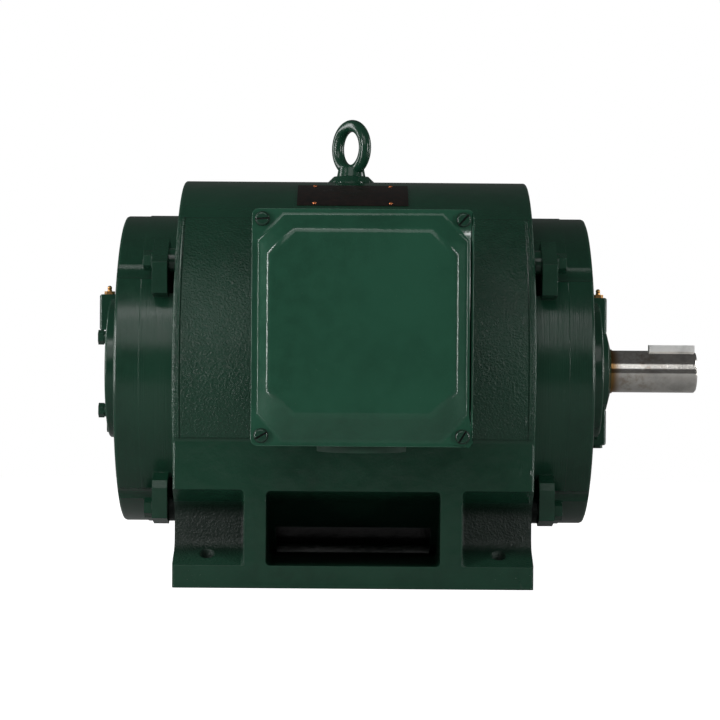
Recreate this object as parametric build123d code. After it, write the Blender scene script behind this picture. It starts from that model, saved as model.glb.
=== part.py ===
from build123d import *
import os
from math import cos, radians, sin, sqrt

# Open drip-proof foot-mounted induction motor, in millimetres.
# Everything is modelled about the shaft's centreline (X, towards the driven load), with the conduit
# box on the -Y side, and is lifted by shaft_height on export, so that Z = 0 is the plane of the feet.

# ---- feet and base ----
shaft_height = 228.6
foot_spacing_x = 311.15
foot_spacing_y = 355.6
foot_hole_diameter = 16.8
base_width = 400.0
base_length = 383.0
base_thickness = 24.0
base_floor_thickness = 10.0
base_pocket_width = 290.0
base_pocket_length = 350.0
window_length = 185.0
window_height = 79.0
window_corner_radius = 5.0
recess_inner_x = 116.0
recess_height = 80.5
recess_depth = 37.0
recess_rise = 17.0
recess_roof_drop = 24.0
recess_radius = 15.0
recess_corner_radius = 4.0
foot_corner_radius = 3.0

# ---- frame barrel ----
frame_length = 385.0
frame_radius = 213.0
frame_wall = 10.0
frame_rim_radius = 3.0
end_ring_thickness = 20.0
rabbet_radius = 165.0
side_skin_proud = 1.2
side_skin_low_angle = -19.0
side_skin_high_angle = 51.0
side_skin_end_gap = 3.5
outlet_low_angle = -72.0
outlet_high_angle = -52.5
outlet_length = 170.0
core_rib_width = 14.0
core_rib_angles = (-12.0, 42.0, -44.0)
core_rib_overlap = 5.0

# ---- lifting eye ----
eye_x = -5.0
eye_ring_radius = 25.5
eye_section_radius = 7.0
eye_turn = -53.0
eye_collar_radius = 16.3
eye_collar_height = 10.5
eye_collar_taper = 0.88
eye_thread_radius = 7.9
eye_thread_length = 24.0
eye_boss_height = 6.5
eye_boss_top_radius = 19.8
eye_boss_foot_radius = 26.5
eye_inner_boss_radius = 18.0

# ---- stator and rotor ----
core_length = 230.0
stator_outer_radius = 163.0
rotor_radius = 105.0
air_gap = 1.0
winding_overhang = 48.0
winding_inner_radius = 113.0
winding_outer_radius = 155.0
winding_round = 14.0
end_ring_inner_radius = 66.0
rotor_ring_width = 16.0
rotor_blade_count = 12
rotor_blade_length = 30.0
rotor_blade_thickness = 5.0

# ---- shaft ----
shaft_diameter = 47.625
shaft_extension = 95.25
shaft_shoulder_x = 293.05
shoulder_diameter = 50.0
rotor_seat_diameter = 80.0
shaft_body_diameter = 74.0
rear_end_clearance = 3.0
shaft_chamfer = 2.0
centre_hole_diameter = 8.0
centre_hole_depth = 12.0
key_size = 12.7
key_length = 51.6
key_end_gap = 1.2

# ---- end brackets ----
bracket_depth = 66.0
bracket_radius = 173.5
bracket_wall = 12.0
bracket_rim_width = 27.5
bracket_rim_step = 0.8
bracket_edge_radius = 3.0
bracket_hub_radius = 84.0
bracket_hub_length = 35.5
bracket_hub_flare = 4.0
bracket_inner_chamfer = 6.0
spigot_length = 12.0
spigot_wall = 9.0
inlet_inner_radius = 98.0
inlet_outer_radius = 150.0
inlet_span = 34.0
inlet_angles = (-90.0, -45.0, 0.0, 180.0, 225.0)

# ---- bracket lugs and bolts ----
bracket_bolt_radius = 191.5
bracket_bolt_angles = (38.4, -51.6)
bracket_bolt_diameter = 12.7
bracket_bolt_head_across = 19.0
bracket_bolt_head_height = 8.0
lock_washer_thickness = 2.6
lock_washer_radius = 10.6
lug_thickness = 16.5
lug_standoff = 8.0
lug_boss_radius = 13.5
lug_scallop_radius = 21.5
vent_slot_half_angle = 9.5
# outline of each lug as (outward, up) offsets from its own bolt
upper_lug_outline = ((28, -2), (-10, 24), (-52, 8), (-28, -46), (26, -35))
lower_lug_outline = ((33, 32), (37, 24), (33, -9), (4, -17), (-34, 6), (0, 46))

# ---- bearings: bore, outside diameter, width, ball diameter, ball count ----
drive_bearing = (65.0, 120.0, 23.0, 16.7, 10)
rear_bearing = (55.0, 120.0, 29.0, 20.6, 8)
bearing_cover_gap = 4.0
ring_land = 0.34
ball_play = 0.1
cage_half_thickness = 2.2
cage_rim = 1.4
preload_spring_thickness = 2.0
preload_spring_width = 6.0
snap_ring_thickness = 2.4
snap_ring_radius = 31.5
snap_ring_half_gap = 3.0

# ---- bearing caps ----
cap_radius = 79.0
cap_edge_radius = 2.5
rear_cap_thickness = 18.5
cap_block_half_width = 17.0
cap_block_low = 43.0
cap_block_high = 83.5
cap_block_edge_radius = 3.0
rear_block_depth = 30.5
drive_block_depth = 27.5
drive_nose_depth = 32.0
drive_nose_radius = 52.0
drive_nose_tip_radius = 27.5
drive_nose_taper = 0.86
cap_spigot_wall = 8.0
cap_bore_clearance = 0.8
cap_ring_clearance = 4.0
inner_cap_thickness = 14.0
cap_screw_radius = 67.0
cap_screw_angles = (31.5, -44.2)
cap_screw_diameter = 9.5
cap_screw_head_across = 14.3
cap_screw_head_height = 6.4
cap_washer_thickness = 2.4
cap_pocket_clearance = 1.6
cap_pocket_sink = 0.5
seal_offset = 12.0
seal_width = 8.0
seal_outer_radius = 34.0

# ---- grease fittings and relief plugs ----
fitting_across = 10.5
fitting_hex_height = 3.6
fitting_nipple_radius = 2.6
fitting_nipple_height = 6.4
fitting_stub_radius = 3.0
fitting_stub_length = 9.0
fitting_neck_share = 0.72
fitting_place = 0.68
plug_across = 11.0
plug_head_height = 4.0
plug_thread_step = 1.5
plug_length = 7.0

baffle_sheet = 1.5
baffle_rim_offset = 12.0
baffle_rim_width = 16.0
baffle_throat_offset = 9.0
baffle_throat_gap = 6.0

# ---- conduit box ----
box_x = 8.0
box_z = 48.3
box_width = 208.0
box_height = 226.0
box_depth = 97.3
box_wall = 6.0
box_back_wall = 8.0
box_corner_radius = 9.0
box_rim_thickness = 7.0
box_pad_width = 140.0
box_pad_height = 130.0
box_pad_z = 30.0
box_pad_y = 219.7
box_gasket_thickness = 2.0
lead_hole_radius = 28.0
box_bolt_spacing = 100.0
box_bolt_diameter = 9.5
hub_radius = 46.0
hub_drop = 14.2
hub_bore_radius = 33.0
ground_screw_offset = 70.0

# ---- conduit box cover ----
cover_width = 224.4
cover_height = 240.0
cover_thickness = 3.0
cover_corner_radius = 7.0
cover_gasket_thickness = 1.5
cover_border = 6.0
cover_corner_cut = 26.0
cover_rise = 14.0
cover_side_slope = 11.0
cover_top_slope = 15.0
cover_foot_slope = 25.0
cover_edge_radius = 3.0
cover_screw_inset = 10.6
cover_screw_head_radius = 7.3
cover_screw_head_height = 4.2
cover_screw_dome_share = 0.6
cover_screw_diameter = 6.35
cover_screw_length = 26.0
cover_boss_radius = 9.8
cover_boss_length = 34.0
cover_screw_slot_width = 1.8
cover_screw_slot_depth = 1.8
cover_screw_turns = (4.0, 30.0, 47.0, 58.0)

# ---- nameplate ----
plate_x = -3.0
plate_length = 122.0
plate_low_angle = 58.2
plate_high_angle = 75.0
plate_thickness = 0.9
plate_pin_spacing = 84.0
plate_pin_radius = 2.3
plate_pin_stub_radius = 1.38
plate_pin_dome_drop = 0.8
plate_pin_edge_angle = 1.3

# ---- leads ----
lead_count = 6
lead_radius = 4.0
lead_circle_radius = 17.0
lead_run = 26.0
lead_row_spread = 0.6
lead_bend_radius = 20.0
lead_drop = 16.0
lug_barrel_length = 16.0
lug_barrel_radius = 5.2
lug_eye_radius = 8.5
lug_eye_hole_radius = 4.2
lug_eye_thickness = 2.5
lug_eye_overlap = 2.0

# ---- fits ----
running_clearance = 0.05
press_clearance = 0.02
slip_clearance = 0.1
part_clearance = 0.3
thread_clearance = 0.1

# ---- derived places ----
frame_end = frame_length / 2
bracket_end = frame_end + bracket_depth
shaft_end = shaft_shoulder_x + shaft_extension
frame_inner_radius = frame_radius - frame_wall
half_base = base_width / 2
floor_z = -shaft_height + base_thickness
bearing_outer_x = bracket_end - bearing_cover_gap
hub_inner_x = bracket_end - bracket_hub_length
lug_inner_x = frame_end + lug_standoff
lug_outer_x = lug_inner_x + lug_thickness
box_back_y = box_pad_y + box_gasket_thickness
box_front_y = box_back_y + box_depth
cover_back_y = box_front_y + cover_gasket_thickness
cover_front_y = cover_back_y + cover_thickness


# ---- helpers ----
def disc(radius, x_low, x_high, y=0.0, z=0.0):
    """A solid round bar along X, from x_low to x_high."""
    bar = Rot(0, 90, 0) * Cylinder(radius, x_high - x_low)
    return Pos((x_low + x_high) / 2, y, z) * bar


def ring(outer, inner, x_low, x_high, y=0.0, z=0.0):
    """A tube along X."""
    margin = 1.0
    return disc(outer, x_low, x_high, y, z) - disc(inner, x_low - margin, x_high + margin, y, z)


def block(x_low, x_high, y_low, y_high, z_low, z_high):
    """A box given by its limits."""
    size = Box(x_high - x_low, y_high - y_low, z_high - z_low)
    return Pos((x_low + x_high) / 2, (y_low + y_high) / 2, (z_low + z_high) / 2) * size


def turned(points):
    """A solid of revolution about X from (x, radius) points."""
    face = make_face(Polyline(*points, close=True))
    return revolve(Plane.XZ * face, Axis.X, 360)


def prism(points, x_low, x_high):
    """A prism along X from (y, z) points."""
    face = make_face(Polyline(*points, close=True))
    return extrude(Plane.YZ.offset(x_low) * face, x_high - x_low)


def polar(radius, angle, side=-1):
    """The (y, z) of a point at an angle above the horizontal, on the front (-1) or back (1)."""
    return side * radius * cos(radians(angle)), radius * sin(radians(angle))


def sector(low_angle, high_angle, radius, x_low, x_high, side=-1):
    """A wedge about the centreline between two angles, on one side."""
    steps = 4
    points = [(0.0, 0.0)]
    for step in range(steps + 1):
        angle = low_angle + (high_angle - low_angle) * step / steps
        points.append(polar(radius, angle, side))
    return prism(points, x_low, x_high)


def hex_bar(across, x_low, x_high, y=0.0, z=0.0):
    """A hexagonal bar along X, given across its flats."""
    face = RegularPolygon(across / sqrt(3), 6)
    bar = extrude(face, x_high - x_low)
    return Pos(x_low, y, z) * Rot(0, 90, 0) * bar


def front_bar(radius, y_low, y_high, x, z):
    """A round bar along Y in front of the centreline, by its distances to the front."""
    bar = Rot(90, 0, 0) * Cylinder(radius, y_high - y_low)
    return Pos(x, -(y_low + y_high) / 2, z) * bar


def bolt_places(radius, angles):
    """The (y, z) of the fasteners, mirrored front and back."""
    return [polar(radius, angle, side) for side in (-1, 1) for angle in angles]


def rear_of(shape):
    """The same shape at the other end."""
    return mirror(shape, about=Plane.YZ)


def group(shapes):
    """Separate solids in one node."""
    return Compound(children=[Compound([solid]) for shape in shapes for solid in shape.solids()])


def export(name, shape):
    """Lift the shape onto its feet and write it."""
    lifted = Pos(0, 0, shaft_height) * shape
    export_step(lifted, "parts/" + name + ".step")


# ---- frame ----
def foot_recess(side):
    """The scoop above one pair of foot holes: a sloped foot top, a round root and a sloped roof."""
    margin = 10.0
    front = half_base + margin
    top = floor_z + recess_height
    root = half_base - recess_depth
    points = [
        (front, top),
        (half_base, top),
        (root, top - recess_roof_drop),
        (root, floor_z + recess_rise),
        (half_base, floor_z),
        (front, floor_z),
    ]
    face = make_face(Polyline(*[(side * y, z) for y, z in points], close=True))
    roots = [v for v in face.vertices() if abs(abs(v.X) - root) < 0.01]
    face = fillet(roots, recess_radius)
    scoop = extrude(Plane.YZ.offset(recess_inner_x) * face, base_length)
    inner = scoop.faces().sort_by(Axis.X)[0]
    rim = [edge for edge in inner.edges() if abs(edge.center().Y) < front - margin / 4]
    return fillet(rim, recess_corner_radius)


def base_window():
    """The opening through the front and back of the base, with round corners."""
    outline = RectangleRounded(window_length, window_height, window_corner_radius)
    bar = Pos(0, 0, -base_width) * extrude(outline, 2 * base_width)
    return Pos(0, 0, floor_z + window_height / 2) * Rot(90, 0, 0) * bar


def pedestal():
    """The base and its four legs, with the windows, recesses and under-side pocket."""
    top = -sqrt(frame_radius**2 - half_base**2) + frame_rim_radius
    half_length = base_length / 2
    body = block(-half_length, half_length, -half_base, half_base, -shaft_height, top)
    body -= base_window() - disc(frame_radius, -half_length, half_length)
    for side in (-1, 1):
        scoop = foot_recess(side)
        body -= scoop
        body -= rear_of(scoop)
    pocket_top = floor_z - base_floor_thickness
    body -= block(-base_pocket_length / 2, base_pocket_length / 2, -base_pocket_width / 2,
                  base_pocket_width / 2, -shaft_height - 1, pocket_top)
    corners = [edge for edge in body.edges().filter_by(Axis.Z)
               if abs(edge.center().X) > half_length - 1 and abs(edge.center().Y) > half_base - 1]
    return fillet(corners, foot_corner_radius)


def barrel():
    """The round outside of the frame with its rough side skins and pads, before it is bored."""
    body = disc(frame_radius, -frame_end, frame_end)
    body = fillet(body.edges().filter_by(GeomType.CIRCLE), frame_rim_radius)
    skin_end = frame_end - side_skin_end_gap
    skin = ring(frame_radius + side_skin_proud, frame_inner_radius + 1, -skin_end, skin_end)
    for side in (-1, 1):
        wedge = sector(side_skin_low_angle, side_skin_high_angle, frame_radius * 2, -skin_end,
                       skin_end, side)
        body += skin & wedge
    body += block(box_x - box_pad_width / 2, box_x + box_pad_width / 2, -box_pad_y,
                  -frame_inner_radius / 2, box_pad_z - box_pad_height / 2, box_pad_z + box_pad_height / 2)
    return body


def eye_boss():
    """The raised seat of the lifting eye, on the crown of the barrel, and the boss below it."""
    cone = Cone(eye_boss_foot_radius, eye_boss_top_radius, eye_boss_height)
    seat = Pos(eye_x, 0, frame_radius + eye_boss_height / 2) * cone
    root = Cylinder(eye_boss_foot_radius, frame_wall)
    seat += Pos(eye_x, 0, frame_radius - frame_wall / 2) * root
    depth = eye_thread_length - eye_boss_height
    seat += Pos(eye_x, 0, frame_radius - depth / 2) * Cylinder(eye_inner_boss_radius, depth)
    return seat


def outlet_cutter(side):
    """One low side opening in the barrel, where the cooling air leaves into the base."""
    half = outlet_length / 2
    wedge = sector(outlet_low_angle, outlet_high_angle, frame_radius * 1.5, -half, half, side)
    return wedge & ring(frame_radius + 1, frame_inner_radius - 1, -half, half)


def core_ribs():
    """Ribs that hold the stator core off the barrel."""
    bar = block(-core_length / 2, core_length / 2, -core_rib_width / 2, core_rib_width / 2,
                stator_outer_radius - core_rib_overlap, frame_inner_radius + frame_wall / 4)
    angles = [90.0, -90.0]
    for angle in core_rib_angles:
        angles += [angle, 180.0 - angle]
    ribs = [Rot(90.0 - angle, 0, 0) * bar for angle in angles]
    bore = disc(stator_outer_radius + slip_clearance, -core_length, core_length)
    return [rib - bore for rib in ribs]


def frame_housing():
    """The cast frame: barrel, base, rabbets for the brackets and seats for everything on it."""
    body = barrel() + pedestal()
    inside = frame_end - end_ring_thickness
    body -= disc(frame_inner_radius, -inside, inside)
    body -= disc(rabbet_radius, -frame_end - 1, frame_end + 1)
    for side in (-1, 1):
        body -= outlet_cutter(side)
    for rib in core_ribs():
        body += rib
    body += eye_boss()
    body -= Pos(eye_x, 0, frame_radius) * Cylinder(eye_thread_radius + thread_clearance,
                                                   3 * eye_thread_length)
    for x in (-foot_spacing_x / 2, foot_spacing_x / 2):
        for y in (-foot_spacing_y / 2, foot_spacing_y / 2):
            body -= Pos(x, y, floor_z) * Cylinder(foot_hole_diameter / 2, 3 * base_thickness)
    for y, z in bolt_places(bracket_bolt_radius, bracket_bolt_angles):
        boss = disc(lug_boss_radius, frame_end - 1, lug_inner_x, y, z)
        hole = disc(bracket_bolt_diameter / 2 + thread_clearance, frame_end / 2, bracket_end, y, z)
        body = body + boss - hole
        body = body + rear_of(boss) - rear_of(hole)
    body -= front_bar(lead_hole_radius, frame_inner_radius / 2, box_pad_y + 1, box_x, box_pad_z)
    for x, z in box_bolt_places():
        body -= front_bar(box_bolt_diameter / 2 + thread_clearance, frame_inner_radius - 30,
                          box_pad_y + 1, x, z)
    return body


def lifting_eyebolt():
    """The forged eye, turned as it was left when its collar came down on the boss."""
    seat_z = frame_radius + eye_boss_height
    collar_top = eye_collar_radius * eye_collar_taper
    collar = Cone(eye_collar_radius, collar_top, eye_collar_height)
    eye = Pos(0, 0, seat_z + eye_collar_height / 2) * collar
    ring_z = seat_z + eye_ring_radius + eye_section_radius
    loop = Pos(0, 0, ring_z) * Rot(90, 0, 0) * Torus(eye_ring_radius, eye_section_radius)
    eye += loop
    eye += Pos(0, 0, seat_z - eye_thread_length / 2) * Cylinder(eye_thread_radius, eye_thread_length)
    return Pos(eye_x, 0, 0) * Rot(0, 0, eye_turn) * eye


# ---- stator and rotor ----
def stator_core():
    """The laminated stack, bored for the rotor."""
    half = core_length / 2
    return ring(stator_outer_radius, rotor_radius + air_gap, -half, half)


def stator_windings():
    """The two rounded rings of end turns beyond the core."""
    start = core_length / 2
    coil = ring(winding_outer_radius, winding_inner_radius, start, start + winding_overhang)
    far_edges = coil.edges().filter_by(GeomType.CIRCLE).group_by(Axis.X)[-1]
    coil = fillet(far_edges, winding_round)
    return group([coil, rear_of(coil)])


def rotor_core():
    """The laminated rotor stack on its shaft seat."""
    half = core_length / 2
    return ring(rotor_radius, rotor_seat_diameter / 2 + press_clearance, -half, half)


def rotor_end_ring():
    """The drive-side cast ring of the squirrel cage, with its fan blades."""
    start = core_length / 2
    ring_end = start + rotor_ring_width
    outer = rotor_radius - 1
    casting = ring(outer, end_ring_inner_radius, start, ring_end)
    blade = block(ring_end - 1, ring_end + rotor_blade_length, -rotor_blade_thickness / 2,
                  rotor_blade_thickness / 2, end_ring_inner_radius + 4, outer - 3)
    for index in range(rotor_blade_count):
        casting += Rot(360.0 * index / rotor_blade_count, 0, 0) * blade
    return casting


def shaft():
    """The turned shaft: rear seat, body, rotor seat, drive seat, shoulder and keyed extension."""
    rear_seat_x = -(bearing_outer_x - rear_bearing[2])
    drive_seat_x = bearing_outer_x - drive_bearing[2]
    half_core = core_length / 2
    rear_x = -(bracket_end + rear_cap_thickness / 2 - rear_end_clearance)
    points = [
        (rear_x, 0),
        (rear_x, rear_bearing[0] / 2 - shaft_chamfer),
        (rear_x + shaft_chamfer, rear_bearing[0] / 2),
        (rear_seat_x, rear_bearing[0] / 2),
        (rear_seat_x, shaft_body_diameter / 2),
        (-half_core, shaft_body_diameter / 2),
        (-half_core, rotor_seat_diameter / 2),
        (half_core, rotor_seat_diameter / 2),
        (half_core, shaft_body_diameter / 2),
        (drive_seat_x, shaft_body_diameter / 2),
        (drive_seat_x, drive_bearing[0] / 2),
        (bracket_end + bearing_cover_gap, drive_bearing[0] / 2),
        (bracket_end + bearing_cover_gap, shoulder_diameter / 2),
        (shaft_shoulder_x, shoulder_diameter / 2),
        (shaft_shoulder_x, shaft_diameter / 2),
        (shaft_end - shaft_chamfer, shaft_diameter / 2),
        (shaft_end, shaft_diameter / 2 - shaft_chamfer),
        (shaft_end, 0),
    ]
    body = turned(points)
    body -= disc(centre_hole_diameter / 2, shaft_end - centre_hole_depth, shaft_end + 1)
    body -= ring(rear_bearing[0], snap_groove_radius(), -(bearing_outer_x + snap_ring_thickness),
                 -bearing_outer_x)
    return body - key_solid(slip_clearance)


def snap_groove_radius():
    """The floor of the snap ring's groove in the rear seat."""
    return rear_bearing[0] / 2 - 2.0


def key_solid(clearance):
    """The square key, or its keyway when a clearance is given."""
    high = shaft_diameter / 2 + key_size / 2
    low = high - key_size
    end = shaft_end - key_end_gap
    half = key_size / 2 + clearance
    far = end if clearance == 0 else shaft_end + 1
    return block(end - key_length - clearance, far, -half, half, low - clearance, high)


# ---- bearings ----
def pitch_radius(bearing):
    """The radius of the circle through the balls' centres."""
    return (bearing[0] + bearing[1]) / 4


def bearing_groove(bearing):
    """The raceway space that both rings leave for the balls."""
    bore, outside, width, ball, count = bearing
    loop = Rot(0, 90, 0) * Torus(pitch_radius(bearing), ball / 2 + ball_play)
    return Pos(bearing_outer_x - width / 2, 0, 0) * loop


def bearing_inner_ring(bearing):
    """The ring that is pressed on the shaft."""
    bore, outside, width, ball, count = bearing
    land = pitch_radius(bearing) - ball * ring_land
    blank = ring(land, bore / 2 + press_clearance, bearing_outer_x - width, bearing_outer_x)
    return blank - bearing_groove(bearing)


def bearing_outer_ring(bearing):
    """The ring that sits in the bracket's bore."""
    bore, outside, width, ball, count = bearing
    land = pitch_radius(bearing) + ball * ring_land
    blank = ring(outside / 2, land, bearing_outer_x - width, bearing_outer_x)
    return blank - bearing_groove(bearing)


def ball_spheres(bearing, radius):
    """One sphere for each ball, of the given radius."""
    bore, outside, width, ball, count = bearing
    x = bearing_outer_x - width / 2
    spheres = []
    for index in range(count):
        turn = Rot(360.0 * index / count, 0, 0)
        spheres.append(turn * Pos(x, 0, pitch_radius(bearing)) * Sphere(radius))
    return spheres


def bearing_balls(bearing):
    """The loose balls."""
    return group(ball_spheres(bearing, bearing[3] / 2))


def bearing_cage(bearing):
    """The pocketed ring that keeps the balls apart."""
    bore, outside, width, ball, count = bearing
    middle = bearing_outer_x - width / 2
    pitch = pitch_radius(bearing)
    half = ball / 2 + part_clearance + cage_rim
    cage = ring(pitch + cage_half_thickness, pitch - cage_half_thickness, middle - half, middle + half)
    for pocket in ball_spheres(bearing, ball / 2 + part_clearance):
        cage -= pocket
    return cage


def preload_spring():
    """The thin spring washer between the rear outer ring and its cap."""
    outer = rear_bearing[1] / 2 - part_clearance
    inner = outer - preload_spring_width
    return ring(outer, inner, bearing_outer_x, bearing_outer_x + preload_spring_thickness)


def snap_ring():
    """The split ring that holds the rear inner ring on the shaft."""
    start = bearing_outer_x + press_clearance
    end = bearing_outer_x + snap_ring_thickness - press_clearance
    clip = ring(snap_ring_radius, snap_groove_radius() + press_clearance, start, end)
    half = snap_ring_half_gap
    return clip - block(start - 1, end + 1, -half, half, 0, 2 * snap_ring_radius)


# ---- end brackets ----
def lug(bolt, outline, side):
    """One bolting lug outside the bracket, on the front or the back."""
    y, z = bolt
    points = [(y + side * out, z + up) for out, up in outline]
    return prism(points, lug_inner_x, lug_outer_x)


def end_bracket():
    """The drive-end bracket: bell, spigot, hub, lugs, air inlets and vent slots behind the lugs."""
    inner = bracket_radius - bracket_wall
    rim_x = bracket_end - bracket_rim_width
    rim = bracket_radius - bracket_rim_step
    spigot = rabbet_radius - slip_clearance
    wall_x = bracket_end - bracket_wall
    bracket_edge_bow = bracket_edge_radius * (1 - sin(radians(45)))
    points = [
        (frame_end - spigot_length, spigot - spigot_wall),
        (frame_end - spigot_length, spigot),
        (frame_end, spigot),
        (frame_end, bracket_radius),
        (rim_x, bracket_radius),
        (rim_x, rim),
        (bracket_end - bracket_edge_radius, rim),
        (bracket_end - bracket_edge_bow, rim - bracket_edge_bow),
        (bracket_end, rim - bracket_edge_radius),
        (bracket_end, drive_bearing[1] / 2 + press_clearance),
        (hub_inner_x, drive_bearing[1] / 2 + press_clearance),
        (hub_inner_x, bracket_hub_radius),
        (wall_x, bracket_hub_radius + bracket_hub_flare),
        (wall_x, inner - bracket_inner_chamfer),
        (wall_x - bracket_inner_chamfer, inner),
        (frame_end + spigot_length / 3, inner),
        (frame_end + spigot_length / 3, spigot - spigot_wall),
    ]
    body = turned(points)
    shell = disc(inner + 2, frame_end - spigot_length - 1, bracket_end + 1)
    outlines = (upper_lug_outline, lower_lug_outline)
    for side in (-1, 1):
        for angle, outline in zip(bracket_bolt_angles, outlines):
            y, z = polar(bracket_bolt_radius, angle, side)
            body += lug((y, z), outline, side) - shell
            body -= disc(lug_scallop_radius, lug_outer_x, bracket_end + 1, y, z)
            body -= disc(bracket_bolt_diameter / 2 + slip_clearance, frame_end + 1, bracket_end, y, z)
            wedge = sector(angle - vent_slot_half_angle, angle + vent_slot_half_angle,
                           bracket_radius * 2, frame_end, lug_inner_x, side)
            body -= wedge & ring(bracket_radius + 1, inner - 2, frame_end, lug_inner_x)
    for angle in inlet_angles:
        wedge = sector(angle - inlet_span / 2, angle + inlet_span / 2, bracket_radius, wall_x - 1,
                       bracket_end + 1)
        body -= wedge & ring(inlet_outer_radius, inlet_inner_radius, wall_x - 1, bracket_end + 1)
    for y, z in bolt_places(cap_screw_radius, cap_screw_angles):
        body -= disc(cap_screw_diameter / 2 + slip_clearance, frame_end, bracket_end + 1, y, z)
    return body


def bracket_bolts():
    """The four hex bolts of one bracket."""
    start = lug_outer_x + lock_washer_thickness
    bolts = []
    for y, z in bolt_places(bracket_bolt_radius, bracket_bolt_angles):
        head = hex_bar(bracket_bolt_head_across, start, start + bracket_bolt_head_height, y, z)
        shank = disc(bracket_bolt_diameter / 2, frame_end - end_ring_thickness + 2, start, y, z)
        bolts.append(head + shank)
    return group(bolts)


def bracket_lock_washers():
    """The four split washers under the bracket bolts."""
    washers = []
    for y, z in bolt_places(bracket_bolt_radius, bracket_bolt_angles):
        bore = bracket_bolt_diameter / 2 + slip_clearance
        end = lug_outer_x + lock_washer_thickness
        washers.append(ring(lock_washer_radius, bore, lug_outer_x, end, y, z))
    return group(washers)


# ---- bearing caps ----
def cap_block(depth, direction):
    """The raised block of a cap that carries a grease fitting (1) or a relief plug (-1)."""
    low, high = sorted((direction * cap_block_low, direction * cap_block_high))
    body = block(bracket_end, bracket_end + depth, -cap_block_half_width, cap_block_half_width, low, high)
    rim = body.edges().group_by(Axis.X)[-1]
    return fillet(rim, cap_block_edge_radius)


def cap_spigot(length):
    """The short ring of a cap that reaches into the bearing bore."""
    outer = drive_bearing[1] / 2 - slip_clearance
    return ring(outer, outer - cap_spigot_wall, bracket_end - length, bracket_end + 1)


def screw_holes(x_low, x_high):
    """Clearance holes for the cap screws."""
    bars = []
    for y, z in bolt_places(cap_screw_radius, cap_screw_angles):
        bars.append(disc(cap_screw_diameter / 2 + slip_clearance, x_low, x_high, y, z))
    return bars


def fitting_hole(depth):
    """The hole in a cap's top block for the grease fitting's stub."""
    x = fitting_x(depth)
    radius = fitting_stub_radius + thread_clearance
    return Pos(x, 0, cap_block_high) * Cylinder(radius, 2 * fitting_stub_length + 2)


def fitting_x(depth):
    """How far out a fitting stands on a block of the given depth."""
    return bracket_end + depth * fitting_place


def rear_bearing_cap():
    """The closed outer cap of the rear bearing, modelled at the drive end and mirrored."""
    end = bracket_end + rear_cap_thickness
    body = disc(cap_radius, bracket_end, end)
    body = fillet(body.edges().filter_by(GeomType.CIRCLE).group_by(Axis.X)[-1], cap_edge_radius)
    body += cap_block(rear_block_depth, 1)
    body += cap_spigot(bearing_cover_gap - preload_spring_thickness)
    body -= disc(snap_ring_radius + cap_ring_clearance, bracket_end - 1, bracket_end + rear_cap_thickness / 2)
    for hole in screw_holes(bracket_end - 1, end + 1):
        body -= hole
    body -= relief_plug_bar(plug_stub_radius() + thread_clearance, end - plug_length - 1, end + 1)
    return body - fitting_hole(rear_block_depth)


def plug_stub_radius():
    """The threaded part of a relief plug."""
    return plug_across / 2 - plug_thread_step


def relief_plug_bar(radius, x_low, x_high):
    """A bar where the rear relief plug stands, low on the cap's face."""
    return disc(radius, x_low, x_high, 0, -cap_screw_radius)


def drive_bearing_cap():
    """The outer cap of the drive bearing, with a conical nose around the shaft."""
    end = bracket_end + rear_cap_thickness
    nose = bracket_end + drive_nose_depth
    body = disc(cap_radius, bracket_end, end)
    body = fillet(body.edges().filter_by(GeomType.CIRCLE).group_by(Axis.X)[-1], cap_edge_radius)
    body += turned([
        (bracket_end, 0),
        (bracket_end, drive_nose_radius),
        (bracket_end + drive_block_depth, drive_nose_radius * drive_nose_taper),
        (nose, drive_nose_tip_radius),
        (nose, 0),
    ])
    body += cap_block(drive_block_depth, 1)
    body += cap_block(drive_block_depth, -1)
    body += cap_spigot(bearing_cover_gap - slip_clearance)
    bore = shoulder_diameter / 2
    seat = bracket_end + seal_offset
    body -= disc(bore + cap_bore_clearance, bracket_end, nose + 1)
    body -= disc(seal_outer_radius + press_clearance, seat, seat + seal_width)
    body -= disc(drive_bearing[0] / 2 + cap_ring_clearance, bracket_end - 1, seat)
    for y, z in bolt_places(cap_screw_radius, cap_screw_angles):
        radius = cap_screw_head_across / 2 + cap_pocket_clearance
        body -= disc(radius, end - cap_pocket_depth(), nose, y, z)
    for hole in screw_holes(bracket_end - 1, end + 1):
        body -= hole
    hole = fitting_hole(drive_block_depth)
    return body - hole - mirror(hole, about=Plane.XY)


def cap_pocket_depth():
    """How deep the drive cap's screw heads and washers are sunk."""
    return cap_screw_head_height + cap_washer_thickness + cap_pocket_sink


def inner_cap(bearing):
    """The cap behind one bearing, with a spigot up to its outer ring."""
    ring_x = bearing_outer_x - bearing[2] - slip_clearance
    body = disc(cap_radius, hub_inner_x - inner_cap_thickness, hub_inner_x)
    outer = bearing[1] / 2 - slip_clearance
    body += ring(outer, outer - cap_spigot_wall, hub_inner_x - 1, ring_x)
    body -= disc(shaft_body_diameter / 2 + cap_bore_clearance, frame_end, bracket_end)
    for hole in screw_holes(frame_end, bracket_end):
        body -= hole
    return body


def cap_screws(head_seat_x):
    """The four hex screws, with their washers, that draw one pair of caps together."""
    screws = []
    start = head_seat_x + cap_washer_thickness
    tip = hub_inner_x - inner_cap_thickness + 1
    for y, z in bolt_places(cap_screw_radius, cap_screw_angles):
        screw = hex_bar(cap_screw_head_across, start, start + cap_screw_head_height, y, z)
        screw += disc(cap_screw_diameter / 2, tip, start, y, z)
        screw += disc(cap_screw_head_across / 2, head_seat_x, start, y, z)
        screws.append(screw)
    return group(screws)


def shaft_seal():
    """The rubber ring between the drive cap's nose and the shaft."""
    start = bracket_end + seal_offset + slip_clearance
    bore = shoulder_diameter / 2 + running_clearance
    return ring(seal_outer_radius - press_clearance, bore, start, start + seal_width - 2 * slip_clearance)


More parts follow.
